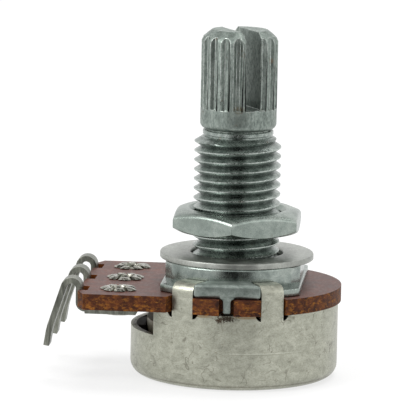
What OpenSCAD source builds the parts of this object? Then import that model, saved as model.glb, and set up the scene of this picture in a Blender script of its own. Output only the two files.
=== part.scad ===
// Rotary potentiometer with a 16 mm crimped metal can, a threaded bushing,
// a splined split shaft and three solder terminals on one side.
// Sizes are in millimetres. The origin is the centre of the can's flat back,
// +Z runs along the shaft and the terminals point towards -X.

/* [Can] */
// Outside diameter of the can
can_d = 16.3; // [15.6:0.1:20]
// Height of the can from its flat back to its rim
can_h = 6.0; // [5.4:0.1:9]
// Thickness of the can's sheet
can_sheet = 0.45; // [0.3:0.05:0.55]
// Outer radius where the back turns up into the wall
can_corner_r = 1.2; // [0.7:0.1:1.8]
// Half angle of the opening in the wall that lets the terminal tongue out
window_half_angle = 42; // [36:1:46]
// Depth of that opening below the rim
window_depth = 2.15; // [1.8:0.05:2.6]
// Width of a crimp tab
tab_w = 1.85; // [1.2:0.05:2.2]
// Angle of a crimp tab from the front-to-back line
tab_angle = 25.5; // [22:0.5:32]
// Outer radius of the bend where a tab folds over the plate
tab_bend_r = 0.75; // [0.6:0.05:0.9]

/* [Wafer] */
// Thickness of the phenolic wafer
wafer_t = 1.25; // [0.8:0.05:2]
// How far the wafer stands out beyond the can wall
wafer_proud = 0.25; // [0.1:0.05:0.6]
// How far the terminal end of the wafer stands out from the can wall
tongue_len = 3.6; // [3.4:0.05:7]
// Distance between neighbouring terminals
terminal_pitch = 5.0; // [4.4:0.1:5.4]

/* [Plate and bushing] */
// Thickness of the cast plate that the tabs hold down
plate_t = 0.6; // [0.4:0.05:1]
// Height of the boss from the wafer to the mounting face
boss_h = 2.0; // [1.7:0.1:4]
// Radius of the round sides of the boss
boss_r = 6.2; // [5.6:0.1:6.6]
// Distance from the axis to the flat sides of the boss
boss_flat = 5.3; // [4.8:0.1:5.6]
// Height of the lip that stands up between two tabs, from the wafer
lip_h = 1.14; // [0.8:0.02:1.6]
// Width of that lip
lip_w = 5.0; // [3:0.1:5.2]
// Outside diameter of the bushing over its thread
bushing_d = 6.9; // [6.4:0.1:8]
// Height of the bushing above the mounting face
bushing_len = 10.15; // [6:0.05:15]

/* [Shaft] */
// Diameter of the splined head
shaft_d = 6.0; // [5.6:0.1:6.35]
// Height of the shaft's end above the mounting face
shaft_len = 18.05; // [16:0.05:30]
// Diameter of the stretch that turns in the bushing
journal_d = 5.0; // [4.6:0.1:5.2]
// Number of spline grooves
spline_count = 18; // [12:1:24]
// Depth of a spline groove
spline_depth = 0.38; // [0.2:0.02:0.5]
// Width left on each spline crest
spline_land = 0.25; // [0.15:0.05:0.35]
// Length of the splined stretch
spline_len = 6.12; // [3:0.02:7]
// Width of the slot across the shaft's end
slot_w = 1.2; // [0.6:0.1:1.4]
// Depth of the slot
slot_depth = 6.05; // [3:0.05:7]
// Direction of the slot, seen from above
slot_angle = -62; // [-90:1:90]
// Direction of the first spline crest
spline_angle = -77.5; // [-90:0.5:90]

/* [Nut and washer] */
// Distance across the flats of the nut
nut_af = 10.0; // [9:0.5:12]
// Thickness of the nut
nut_t = 1.75; // [1.4:0.05:3]
// Height of the nut's lower face above the mounting face
nut_lift = 2.2; // [0.8:0.05:4]
// Outside diameter of the flat washer
washer_d = 12.0; // [10:0.5:14]
// Thickness of the flat washer
washer_t = 0.45; // [0.3:0.05:0.7]

/* [Rotor and contacts] */
// Thickness of the moulded rotor disc
rotor_t = 1.0; // [0.7:0.05:1.3]
// Thickness of the wiper's spring sheet
wiper_t = 0.2; // [0.15:0.05:0.3]
// Height that the wiper's fingers spring up to the track
wiper_rise = 1.3; // [1:0.05:1.6]
// Width of the resistive track
track_w = 1.2; // [0.8:0.05:1.5]
// Thickness of the printed track and conductors
print_t = 0.06; // [0.04:0.01:0.1]
// Half the electrical travel, covered by the track
track_half_angle = 142; // [130:1:144]

/* [Terminals] */
// Thickness of the terminal strip
terminal_t = 0.42; // [0.3:0.02:0.5]
// Width of a terminal leg
terminal_w = 1.45; // [1:0.05:1.6]
// Length of the leg below the arch
terminal_leg = 5.0; // [3:0.1:5.6]
// Lean of the leg away from the can
terminal_lean = 18; // [5:1:30]
// Radius of a rivet's flange
rivet_r = 1.55; // [1.2:0.05:1.8]
// Number of petals that the rivet's rim splits into
rivet_petals = 7; // [5:1:9]

/* [Hidden] */
$fn = 96;
eps = 0.01;

// Clearances and small allowances
running_gap = 0.05;
seat_gap = 0.02;
tab_gap = 0.1;
wall_gap = 0.1;
washer_play = 0.15;
tooth_room = 0.28;

// How far a cutting shape runs on past what it cuts
over = 1;

// Heights of the stack, from the back of the can upwards
wafer_z = can_h;
wafer_top = wafer_z + wafer_t;
plate_top = wafer_top + plate_t;
face_z = wafer_top + boss_h;
bushing_top = face_z + bushing_len;
shaft_top = face_z + shaft_len;
nut_z = face_z + nut_lift;

// Can and crimp
can_r = can_d / 2;
can_in_r = can_r - can_sheet;
wafer_reach = can_r + tongue_len;
fold_top = plate_top + can_sheet;
fold_end_r = boss_r + wall_gap;
relief_r = 0.22;
relief_depth = 0.45;
small_fn = 48;
tab_angles = [-90 - tab_angle, -90 + tab_angle, 90 - tab_angle, 90 + tab_angle];
window_z = can_h - window_depth;
stop_w = 3.4;

// Cast plate, boss and bushing
plate_r = can_in_r - wall_gap;
plate_flat = boss_flat + 0.15;
boss_corner_cut = 0.35;
lip_reach = can_r - 0.15;
tooth_w = 0.6;
tooth_depth = 0.55;
tooth_drop = wafer_t - 0.12;
bushing_r = bushing_d / 2;
bore_r = journal_d / 2 + running_gap;
neck_wall = 0.25;
neck_r = bore_r + neck_wall;
neck_h = 0.4;
bushing_chamfer = bushing_r - neck_r;

// Nut
nut_face_edge = 0.05;
nut_under_edge = 0.35;
nut_sink = 0.35;

// Shaft, from the top down, and the ring that holds it in
shaft_r = shaft_d / 2;
journal_r = journal_d / 2;
head_clear = 0.12;
head_z = bushing_top + head_clear;
head_round = 0.45;
spline_z = shaft_top - spline_len;
crest_rise = 0.01;
crest_start = 0.08;
band_r = shaft_r - crest_rise;
tip_chamfer = 0.65;
tip_chamfer_h = 0.8;
root_half_w = 0.08;
recess_h = 1.15;
recess_top = wafer_top + recess_h;
thrust_t = 0.3;
thrust_z = recess_top - thrust_t;
ring_t = 0.55;
groove_gap = 0.03;
ring_z = thrust_z - ring_t - groove_gap - eps;
groove_r = journal_r - 0.6;
ring_r = journal_r + 1.1;
thrust_r = ring_r + 0.4;
ring_gap_angle = 70;
recess_r = ring_r + 0.7;
tail_r = journal_r - 0.5;
tail_flat = tail_r - 0.55;
shoulder_z = wafer_top + running_gap;

// Wiper and rotor, hung below the wafer
print_z = wafer_z - print_t;
contact_z = print_z - seat_gap;
wiper_z = contact_z - wiper_rise - wiper_t;
rotor_z = wiper_z - rotor_t;
stake_h = 0.4;
stake_r = tail_r + 0.35;
stake_taper = 0.2;
rotor_r = can_in_r - 0.8;
lug_r = can_in_r - 0.25;
lug_half_angle = 15.5;
lug_z = min(rotor_z, window_z - can_sheet - 0.2);
stop_r = rotor_r + wall_gap;
hub_r = tail_r + 0.55;
hub_top = wafer_z - 0.4;
peg_r = 0.42;
peg_head_r = 0.65;
peg_head_h = 0.22;

// Printed track and conductors on the underside of the wafer
wafer_hole_r = tail_r + 0.3;
track_out = rotor_r - 0.7;
track_in = track_out - track_w;
collector_in = wafer_hole_r + 0.35;
collector_share = 0.58;
collector_out = collector_in + collector_share * (track_in - collector_in);
print_gap_angle = 0.4;
pad_angle = 15;
lead_w = 1.6;
wiper_in = hub_r + 0.2;
wiper_out = collector_out + 0.2;
peg_at = (wiper_in + wiper_out) / 2;
finger_reach = 3.2;
finger_root = 0.8;
finger_slit = 0.12;
brush_edge = 0.05;

// Rivets and terminals
rivet_share = 0.15;
rivet_x = -(can_r + rivet_share * tongue_len);
rivet_hole_r = 0.82;
rivet_wall = 0.22;
rivet_flange_t = 0.24;
rivet_tail_r = 1.25;
rivet_tail_t = 0.14;
terminal_ys = [-terminal_pitch, 0, terminal_pitch];
terminal_z = print_z - terminal_t;
lug_w = 3.0;
lug_in_x = rivet_x + lug_w / 2;
lug_out_x = -(wafer_reach - 0.55);
lug_corner = 0.4;
arch_r = 0.52;
arch_rise = 0.64;
bend_r = 0.5;
notch_sink = 0.2;
leg_x = -(wafer_reach + terminal_t / 2 - notch_sink);
foot_len = 1.4;
foot_lean = terminal_lean / 2;
notch_room = 0.175;
notch_w = terminal_w + 2 * notch_room;
notch_depth = 0.7;
wafer_r = can_r + wafer_proud;
tongue_side = 2.6;
tongue_half = terminal_pitch + tongue_side;
tongue_cut = [0.55, 1.2];

// Points along an arc about a centre
function arc(centre, r, from, to, steps = 8) = [
    for (i = [0:steps])
        let (a = from + (to - from) * i / steps)
        centre + r * [cos(a), sin(a)]
];

// Unit direction from one point to the next
function heading(p, q) = (q - p) / norm(q - p);

// Sideways step at one point of a path, mitred at its corner
function side_step(path, i) =
    let (
        last = len(path) - 1,
        back = heading(path[max(i - 1, 0)], path[max(i, 1)]),
        ahead = heading(path[min(i, last - 1)], path[min(i + 1, last)]),
        mid = back + ahead
    )
    [-mid[1], mid[0]] / (mid * ahead);

// Outline of a strip of one thickness that follows a path
function strip(path, thickness) = concat(
    [for (i = [0:len(path) - 1]) path[i] + side_step(path, i) * thickness / 2],
    [for (i = [len(path) - 1:-1:0]) path[i] - side_step(path, i) * thickness / 2]
);

// Flat sector between two radii, centred on an angle
module sector(r_in, r_out, centre, half, height) {
    rotate([0, 0, centre - half])
    rotate_extrude(angle = 2 * half)
    translate([r_in, 0])
    square([r_out - r_in, height]);
}

// Straight-sided slice along a radius, as wide as a crimp tab plus a gap
module tab_slice(angle, gap, r_in, r_out, z0, z1) {
    rotate([0, 0, angle])
    translate([r_in, -tab_w / 2 - gap, z0])
    cube([r_out - r_in, tab_w + 2 * gap, z1 - z0]);
}

// Round cross-section with two flats, for the shaft's tail and the hole it drives
module double_d(r, flat, height) {
    intersection() {
        cylinder(r = r, h = height);
        translate([-2 * r, -flat, 0])
        cube([4 * r, 2 * flat, height]);
    }
}

// Half section of a cup with a rounded corner
module cup_section(r, h, corner) {
    square([r - corner, h]);
    translate([0, corner])
    square([r, h - corner]);
    translate([r - corner, corner])
    circle(r = corner);
}

// Section of a tab: it rises with the wall, bends and lies on the plate
module tab_section() {
    bend_at = [can_r - tab_bend_r, fold_top - tab_bend_r];
    translate([can_in_r, can_h - relief_depth])
    square([can_sheet, bend_at[1] - can_h + relief_depth]);
    translate([fold_end_r, plate_top])
    square([bend_at[0] - fold_end_r, can_sheet]);
    intersection() {
        difference() {
            translate(bend_at)
            circle(r = tab_bend_r);
            translate(bend_at)
            circle(r = tab_bend_r - can_sheet);
        }
        translate(bend_at)
        square(tab_bend_r + eps);
    }
}

module crimp_tab(angle) {
    sweep_half = 20;
    intersection() {
        rotate([0, 0, angle - sweep_half])
        rotate_extrude(angle = 2 * sweep_half)
        tab_section();
        tab_slice(angle, 0, boss_r - over, can_r + over, 0, fold_top + over);
    }
}

// Small rounded cut beside the root of a tab
module relief_notch(angle, side) {
    rotate([0, 0, angle])
    translate([can_in_r - over, side * (tab_w / 2 + relief_r), can_h - relief_depth + relief_r]) {
        rotate([0, 90, 0])
        cylinder(r = relief_r, h = can_sheet + 2 * over, $fn = small_fn);
        translate([0, -relief_r, 0])
        cube([can_sheet + 2 * over, 2 * relief_r, relief_depth]);
    }
}

module can() {
    color("lightgray") {
        difference() {
            rotate_extrude()
            cup_section(can_r, can_h, can_corner_r);
            translate([0, 0, can_sheet])
            rotate_extrude()
            cup_section(can_in_r, can_h, can_corner_r - can_sheet);
            translate([0, 0, window_z])
            sector(can_in_r - over, can_r + over, 180, window_half_angle, window_depth + over);
            for (a = tab_angles)
                for (side = [-1, 1])
                    relief_notch(a, side);
        }
        for (a = tab_angles)
            crimp_tab(a);
        stop_tongue();
    }
}

// Tongue turned in from the lower edge of the opening, where the rotor stops
module stop_tongue() {
    intersection() {
        translate([-can_in_r - eps, -stop_w / 2, window_z - can_sheet])
        cube([can_in_r - stop_r + eps, stop_w, can_sheet]);
        cylinder(r = can_in_r + can_sheet / 2, h = can_h);
    }
}

// Plan of the boss: round front and back, flat sides, cut corners
module boss_plan(r, flat) {
    corner_y = sqrt(r * r - flat * flat);
    cut = boss_corner_cut;
    intersection() {
        circle(r = r);
        polygon([
            [flat, corner_y - 2 * cut], [flat - cut, corner_y + cut / 2],
            [flat - cut, r], [-flat + cut, r],
            [-flat + cut, corner_y + cut / 2], [-flat, corner_y - 2 * cut],
            [-flat, -corner_y + 2 * cut], [-flat + cut, -corner_y - cut / 2],
            [-flat + cut, -r], [flat - cut, -r],
            [flat - cut, -corner_y - cut / 2], [flat, -corner_y + 2 * cut]
        ]);
    }
}

// Lip between two tabs, with the tooth that locates the wafer
module lip(side) {
    difference() {
        translate([-lip_w / 2, side > 0 ? 0 : -lip_reach, wafer_top])
        cube([lip_w, lip_reach, lip_h]);
        for (a = tab_angles)
            tab_slice(a, tab_gap, boss_r - over, can_r + over, plate_top, fold_top + over);
    }
    translate([-tooth_w / 2, side > 0 ? lip_reach - tooth_depth : -lip_reach, wafer_top - tooth_drop])
    cube([tooth_w, tooth_depth, tooth_drop + eps]);
}

// Half section of the bushing: round barrel, chamfer and thin neck
module bushing_section() {
    neck_z = bushing_top - neck_h;
    polygon([
        [0, plate_top], [bushing_r, plate_top],
        [bushing_r, neck_z - bushing_chamfer], [neck_r, neck_z],
        [neck_r, bushing_top], [0, bushing_top]
    ]);
}

module bushing_plate() {
    color("darkgray")
    difference() {
        union() {
            intersection() {
                translate([0, 0, wafer_top])
                cylinder(r = plate_r, h = plate_t);
                translate([-plate_flat, -can_r, wafer_top])
                cube([2 * plate_flat, 2 * can_r, plate_t]);
            }
            translate([0, 0, wafer_top])
            linear_extrude(boss_h)
            boss_plan(boss_r, boss_flat);
            for (side = [-1, 1])
                lip(side);
            rotate_extrude()
            bushing_section();
        }
        translate([0, 0, wafer_top - over])
        cylinder(r = bore_r, h = bushing_top - wafer_top + 2 * over);
        translate([0, 0, wafer_top - over])
        cylinder(r = recess_r, h = recess_h + over);
    }
}

module flat_washer() {
    color("gainsboro")
    translate([0, 0, face_z])
    difference() {
        cylinder(r = washer_d / 2, h = washer_t);
        translate([0, 0, -over])
        cylinder(r = bushing_r + washer_play, h = washer_t + 2 * over);
    }
}

// Half section that rounds off the nut's corners, more above than below
module nut_section() {
    slope = tan(30);
    corner_r = nut_af / 2 / cos(30);
    face_r = nut_af / 2 - nut_face_edge;
    under_r = corner_r - nut_under_edge;
    polygon([
        [0, 0], [under_r, 0],
        [corner_r, (corner_r - under_r) * slope],
        [corner_r, nut_t - (corner_r - face_r) * slope],
        [face_r, nut_t], [0, nut_t]
    ]);
}

module hex_nut() {
    hole_r = bushing_r + running_gap;
    sink = nut_sink;
    color("silver")
    translate([0, 0, nut_z])
    difference() {
        intersection() {
            rotate([0, 0, 30])
            cylinder(d = nut_af / cos(30), h = nut_t, $fn = 6);
            rotate_extrude()
            nut_section();
        }
        translate([0, 0, -over])
        cylinder(r = hole_r, h = nut_t + 2 * over);
        translate([0, 0, nut_t - sink])
        cylinder(r1 = hole_r, r2 = hole_r + sink + eps, h = sink + eps);
        translate([0, 0, -eps])
        cylinder(r1 = hole_r + sink + eps, r2 = hole_r, h = sink + eps);
    }
}

// Half section of the shaft's round parts, with the groove for its ring
module shaft_section() {
    groove_low = ring_z - groove_gap;
    groove_high = ring_z + ring_t + groove_gap;
    polygon([
        [0, shoulder_z], [journal_r, shoulder_z],
        [journal_r, groove_low], [groove_r, groove_low],
        [groove_r, groove_high], [journal_r, groove_high],
        [journal_r, head_z], [band_r - head_round, head_z],
        [band_r, head_z + head_round], [band_r, spline_z + crest_start],
        [shaft_r, spline_z + crest_start], [shaft_r, shaft_top - tip_chamfer_h],
        [shaft_r - tip_chamfer, shaft_top], [0, shaft_top]
    ]);
}

// One spline groove, open outwards
module spline_groove() {
    outside = 0.3;
    mouth = (2 * PI * shaft_r / spline_count - spline_land) / 2;
    flare = (mouth - root_half_w) / spline_depth;
    translate([0, 0, spline_z])
    linear_extrude(spline_len + over)
    polygon([
        [shaft_r - spline_depth, -root_half_w],
        [shaft_r + outside, -mouth - flare * outside],
        [shaft_r + outside, mouth + flare * outside],
        [shaft_r - spline_depth, root_half_w]
    ]);
}

module shaft() {
    color("lightsteelblue")
    difference() {
        union() {
            rotate_extrude()
            shaft_section();
            translate([0, 0, rotor_z])
            double_d(tail_r, tail_flat, shoulder_z - rotor_z + eps);
            translate([0, 0, rotor_z - stake_h])
            cylinder(r1 = stake_r - stake_taper, r2 = stake_r, h = stake_h);
        }
        for (i = [0:spline_count - 1])
            rotate([0, 0, spline_angle + (i + 0.5) * 360 / spline_count])
            spline_groove();
        rotate([0, 0, slot_angle])
        translate([-shaft_d, -slot_w / 2, shaft_top - slot_depth])
        cube([2 * shaft_d, slot_w, slot_depth + over]);
    }
}

// Open ring that snaps into the shaft's groove
module retaining_ring() {
    color("dimgray")
    translate([0, 0, ring_z])
    difference() {
        cylinder(r = ring_r, h = ring_t);
        translate([0, 0, -over])
        cylinder(r = groove_r + seat_gap, h = ring_t + 2 * over);
        translate([0, 0, -over])
        sector(0, ring_r + over, 0, ring_gap_angle / 2, ring_t + 2 * over);
    }
}

module thrust_washer() {
    color("silver")
    translate([0, 0, thrust_z])
    difference() {
        cylinder(r = thrust_r, h = thrust_t);
        translate([0, 0, -over])
        cylinder(r = bore_r + running_gap, h = thrust_t + 2 * over);
    }
}

// Plan of the straight tongue that carries the terminals
module tongue_plan() {
    polygon([
        [0, -tongue_half],
        [-wafer_reach + tongue_cut[0], -tongue_half],
        [-wafer_reach, -tongue_half + tongue_cut[1]],
        [-wafer_reach, tongue_half - tongue_cut[1]],
        [-wafer_reach + tongue_cut[0], tongue_half],
        [0, tongue_half]
    ]);
}

// Cuts through the wafer for one terminal: its rivet hole and its end notch
module terminal_cuts(y) {
    translate([rivet_x, y, wafer_z - over])
    cylinder(r = rivet_hole_r + seat_gap, h = wafer_t + 2 * over, $fn = small_fn);
    translate([-wafer_reach - over, y - notch_w / 2, wafer_z - over])
    cube([notch_depth + over, notch_w, wafer_t + 2 * over]);
}

// Cut through the wafer's edge for the tooth of one lip
module tooth_notch(side) {
    inner_y = lip_reach - tooth_depth - tab_gap;
    rotate([0, 0, side > 0 ? 0 : 180])
    translate([-tooth_w / 2 - tooth_room, inner_y, wafer_z - over])
    cube([tooth_w + 2 * tooth_room, can_r, wafer_t + 2 * over]);
}

module wafer() {
    color("saddlebrown")
    difference() {
        translate([0, 0, wafer_z]) {
            cylinder(r = wafer_r, h = wafer_t);
            linear_extrude(wafer_t)
            tongue_plan();
        }
        translate([0, 0, wafer_z - over])
        cylinder(r = wafer_hole_r, h = wafer_t + 2 * over);
        for (y = terminal_ys)
            terminal_cuts(y);
        for (a = tab_angles)
            tab_slice(a, tab_gap, can_in_r - running_gap, 2 * can_r, wafer_z - over, wafer_top + over);
        for (side = [-1, 1])
            tooth_notch(side);
    }
}

module carbon_track() {
    color("black")
    translate([0, 0, print_z])
    sector(track_in, track_out, 0, track_half_angle, print_t);
}

// Silver pad from one end of the track out to its rivet
module track_pad(side) {
    start = track_half_angle + print_gap_angle;
    mid = side * (start + pad_angle / 2);
    neck_half = pad_angle / 3;
    neck_r0 = (track_in + track_out) / 2;
    pad_at = [rivet_x, side * terminal_pitch];
    across = lead_w / 2 * [-sin(mid), cos(mid)];
    color("whitesmoke")
    translate([0, 0, print_z])
    difference() {
        union() {
            sector(track_in, track_out, mid, pad_angle / 2, print_t);
            linear_extrude(print_t)
            polygon([
                neck_r0 * [cos(mid - neck_half), sin(mid - neck_half)],
                neck_r0 * [cos(mid + neck_half), sin(mid + neck_half)],
                pad_at + across,
                pad_at - across
            ]);
            translate(pad_at)
            cylinder(r = rivet_tail_r, h = print_t, $fn = small_fn);
        }
        translate([pad_at[0], pad_at[1], -over])
        cylinder(r = rivet_hole_r + seat_gap, h = print_t + 2 * over, $fn = small_fn);
    }
}

// Silver ring under the middle contact, with its lead to the middle rivet
module collector_ring() {
    color("whitesmoke")
    translate([0, 0, print_z])
    difference() {
        union() {
            cylinder(r = collector_out, h = print_t);
            translate([rivet_x, -lead_w / 2, 0])
            cube([-rivet_x, lead_w, print_t]);
            translate([rivet_x, 0, 0])
            cylinder(r = rivet_tail_r, h = print_t, $fn = small_fn);
        }
        translate([0, 0, -over])
        cylinder(r = collector_in, h = print_t + 2 * over);
        translate([rivet_x, 0, -over])
        cylinder(r = rivet_hole_r + seat_gap, h = print_t + 2 * over, $fn = small_fn);
    }
}

module rotor() {
    color("ivory")
    difference() {
        union() {
            translate([0, 0, rotor_z])
            cylinder(r = rotor_r, h = rotor_t);
            translate([0, 0, rotor_z])
            cylinder(r = hub_r, h = hub_top - rotor_z);
            translate([0, 0, lug_z])
            sector(rotor_r - over, lug_r, 0, lug_half_angle, rotor_z + rotor_t - lug_z);
            for (side = [-1, 1])
                translate([0, side * peg_at, wiper_z - eps]) {
                    cylinder(r = peg_r, h = wiper_t + 2 * eps, $fn = small_fn);
                    translate([0, 0, wiper_t + eps])
                    cylinder(r = peg_head_r, h = peg_head_h, $fn = small_fn);
                }
        }
        translate([0, 0, rotor_z - over])
        double_d(tail_r + seat_gap, tail_flat + seat_gap, hub_top - rotor_z + 2 * over);
    }
}

// Sprung fingers side by side, rising from a flat root to a rounded contact
module fingers(x_low, x_high, count, side) {
    low = wiper_z + wiper_t / 2;
    high = contact_z - wiper_t / 2;
    width = (x_high - x_low + finger_slit) / count - finger_slit;
    path = [
        [side * (finger_reach + finger_root), low],
        [side * finger_reach, low],
        [side * 2.75 * wiper_t, high - 0.6 * wiper_t],
        [side * wiper_t, high],
        [-side * wiper_t, high],
        [-side * 3 * wiper_t, high - 1.1 * wiper_t]
    ];
    for (i = [0:count - 1])
        translate([x_low + i * (width + finger_slit), 0, 0])
        rotate([90, 0, 90])
        linear_extrude(width)
        polygon(strip(path, wiper_t));
}

// Flat ring of the wiper, with a root for each set of fingers
module wiper_ring() {
    difference() {
        union() {
            circle(r = wiper_out);
            translate([0, -finger_reach - finger_root])
            square([track_out - brush_edge, finger_root]);
            translate([-collector_out + brush_edge, finger_reach])
            square([collector_out, finger_root]);
        }
        circle(r = wiper_in);
        for (side = [-1, 1])
            translate([0, side * peg_at])
            circle(r = peg_r + seat_gap, $fn = small_fn);
    }
}

module wiper() {
    color("goldenrod") {
        translate([0, 0, wiper_z])
        linear_extrude(wiper_t)
        wiper_ring();
        fingers(track_in + brush_edge, track_out - brush_edge, 3, -1);
        fingers(-collector_out + brush_edge, -collector_in - brush_edge, 2, 1);
    }
}

// Half section of an eyelet rivet: rolled flange, barrel and set tail
module rivet_section() {
    edge = 0.1;
    tail_edge = 0.05;
    tail_z = terminal_z - rivet_tail_t;
    barrel_in = rivet_hole_r - rivet_wall;
    flange_top = wafer_top + rivet_flange_t;
    polygon([
        [barrel_in, tail_z], [rivet_tail_r - tail_edge, tail_z],
        [rivet_tail_r, tail_z + tail_edge], [rivet_tail_r, terminal_z],
        [rivet_hole_r, terminal_z], [rivet_hole_r, wafer_top],
        [rivet_r, wafer_top], [rivet_r, wafer_top + edge],
        [rivet_r - 3 * edge, flange_top], [rivet_hole_r + edge, flange_top],
        [barrel_in, wafer_top]
    ]);
}

module rivet(y) {
    split_w = 0.2;
    split_in = rivet_hole_r + 0.12;
    split_floor = 0.04;
    color("lightgray")
    translate([rivet_x, y, 0])
    difference() {
        rotate_extrude($fn = 64)
        rivet_section();
        for (i = [0:rivet_petals - 1])
            rotate([0, 0, 360 * i / rivet_petals])
            translate([split_in, -split_w / 2, wafer_top + split_floor])
            cube([rivet_r, split_w, rivet_flange_t]);
    }
}

// Path of a terminal in the XZ plane: under the wafer, up its end notch,
// over in an arch and down a leaning leg
function terminal_path() =
    let (
        low = terminal_z + terminal_t / 2,
        arch_at = [leg_x - arch_r, wafer_top + arch_rise - arch_r],
        knee = arch_at + arch_r * [cos(180 - terminal_lean), sin(180 - terminal_lean)],
        upper = terminal_leg - foot_len,
        ankle = knee - upper * [sin(terminal_lean), cos(terminal_lean)],
        toe = ankle - foot_len * [sin(foot_lean), cos(foot_lean)]
    )
    concat(
        [[lug_in_x, low]],
        arc([leg_x + bend_r, low + bend_r], bend_r, -90, -180, 6),
        arc(arch_at, arch_r, 0, 180 - terminal_lean, 12),
        [ankle, toe]
    );

// Seen from above: a wide lug round the rivet and a narrow leg
module terminal_plan() {
    polygon([
        [lug_in_x + over, -lug_w / 2],
        [lug_out_x + lug_corner, -lug_w / 2],
        [lug_out_x, -lug_w / 2 + lug_corner],
        [lug_out_x, -terminal_w / 2],
        [-2 * wafer_reach, -terminal_w / 2],
        [-2 * wafer_reach, terminal_w / 2],
        [lug_out_x, terminal_w / 2],
        [lug_out_x, lug_w / 2 - lug_corner],
        [lug_out_x + lug_corner, lug_w / 2],
        [lug_in_x + over, lug_w / 2]
    ]);
}

module terminal(y) {
    color("darkgray")
    translate([0, y, 0])
    difference() {
        intersection() {
            rotate([90, 0, 0])
            translate([0, 0, -lug_w])
            linear_extrude(2 * lug_w)
            polygon(strip(terminal_path(), terminal_t));
            linear_extrude(2 * can_h + boss_h)
            terminal_plan();
        }
        translate([rivet_x, 0, terminal_z - over])
        cylinder(r = rivet_hole_r + seat_gap, h = terminal_t + 2 * over, $fn = small_fn);
    }
}

can();
bushing_plate();
flat_washer();
hex_nut();
shaft();
retaining_ring();
thrust_washer();
wafer();
carbon_track();
track_pad(-1);  // track_pad_1
track_pad(1);  // track_pad_3
collector_ring();
rotor();
wiper();
rivet(terminal_ys[0]);  // rivet_1
rivet(terminal_ys[1]);  // rivet_2
rivet(terminal_ys[2]);  // rivet_3
terminal(terminal_ys[0]);  // terminal_1
terminal(terminal_ys[1]);  // terminal_2
terminal(terminal_ys[2]);  // terminal_3
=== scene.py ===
import math
import random
from types import SimpleNamespace

import bmesh
import bpy
from mathutils import Matrix, Vector


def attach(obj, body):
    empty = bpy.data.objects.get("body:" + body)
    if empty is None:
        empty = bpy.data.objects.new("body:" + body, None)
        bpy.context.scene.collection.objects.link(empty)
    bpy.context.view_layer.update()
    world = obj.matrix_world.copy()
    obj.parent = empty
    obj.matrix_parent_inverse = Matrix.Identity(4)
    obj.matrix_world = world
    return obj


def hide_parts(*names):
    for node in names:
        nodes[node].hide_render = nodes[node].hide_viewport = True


# A small panel potentiometer: crimped tin can, phenolic wafer, threaded zinc
# bushing with its nut and washer, splined split shaft, three solder tags.
# Shapes are drawn in millimetres and brought to metres when a piece is made.
mm = 0.001

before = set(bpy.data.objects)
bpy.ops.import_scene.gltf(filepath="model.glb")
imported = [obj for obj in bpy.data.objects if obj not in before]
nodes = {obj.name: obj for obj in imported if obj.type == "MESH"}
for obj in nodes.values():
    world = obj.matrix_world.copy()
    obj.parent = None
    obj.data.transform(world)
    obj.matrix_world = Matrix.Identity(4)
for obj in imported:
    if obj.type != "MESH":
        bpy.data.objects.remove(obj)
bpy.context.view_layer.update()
print("frame loaded:", len(nodes), "nodes")


def named(settings):
    # lets a piece's code read its settings as s.width
    return SimpleNamespace(**settings)


# Tools for shapes
weld = 0.0004      # points closer than this are one point
cutSlack = 1e-5    # what lies this close to a cutting plane lies on it
sharpAngle = 32    # an edge that turns more than this stays sharp
fullTurn = 2 * math.pi
sortAxis = Vector((0.613, 0.531, 0.587))   # askew, so that no two points lie level along it


def allOf(bm):
    return bm.verts[:] + bm.edges[:] + bm.faces[:]


def vertsOf(geom):
    return [v for v in geom if isinstance(v, bmesh.types.BMVert)]


def edgesOf(geom):
    return [e for e in geom if isinstance(e, bmesh.types.BMEdge)]


def toPiece(bm, name):
    # closes seams and hands the drawn shape over as an object at the origin
    bmesh.ops.remove_doubles(bm, verts=bm.verts, dist=weld)
    bmesh.ops.recalc_face_normals(bm, faces=bm.faces)
    bmesh.ops.scale(bm, vec=(mm, mm, mm), verts=bm.verts)
    mesh = bpy.data.meshes.new(name)
    bm.to_mesh(mesh)
    bm.free()
    piece = bpy.data.objects.new(name, mesh)
    bpy.context.scene.collection.objects.link(piece)
    return piece


def bake(piece):
    # turns the piece's modifiers into its mesh
    graph = bpy.context.evaluated_depsgraph_get()
    mesh = bpy.data.meshes.new_from_object(piece.evaluated_get(graph))
    piece.modifiers.clear()
    piece.data = mesh


def carve(piece, cutter, operation="DIFFERENCE"):
    # cuts, or joins, another shape and throws that shape away
    cut = piece.modifiers.new("cut", "BOOLEAN")
    cut.object = cutter
    cut.operation = operation
    cut.solver = "EXACT"
    bake(piece)
    bpy.data.objects.remove(cutter)


def thicken(piece, thickness, side):
    # gives a skin its sheet: side -1 grows inwards, 0 both ways
    shell = piece.modifiers.new("sheet", "SOLIDIFY")
    shell.thickness = thickness * mm
    shell.offset = side
    shell.use_even_offset = True
    bake(piece)


def mergeNear(piece, distance):
    # drops the slivers that a cut leaves; its points come in an order that changes
    # from run to run, so they are sorted first
    bm = bmesh.new()
    bm.from_mesh(piece.data)
    bm.verts.sort(key=lambda v: v.co.dot(sortAxis))
    bm.edges.sort(key=lambda e: (e.verts[0].co + e.verts[1].co).dot(sortAxis))
    bm.faces.sort(key=lambda f: f.calc_center_median().dot(sortAxis))
    bmesh.ops.remove_doubles(bm, verts=bm.verts, dist=distance * mm)
    bmesh.ops.dissolve_degenerate(bm, edges=bm.edges, dist=0.001 * mm)
    bm.to_mesh(piece.data)
    bm.free()


def softenEdges(piece, width, angle, slot=-1, clamp=True):
    # slot is the material of the edge itself, where a highlight is painted lighter
    bevel = piece.modifiers.new("soft edge", "BEVEL")
    bevel.width = width * mm
    bevel.segments = 2
    bevel.limit_method = "ANGLE"
    bevel.angle_limit = math.radians(angle)
    bevel.harden_normals = True
    bevel.use_clamp_overlap = clamp
    bevel.material = slot


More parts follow.
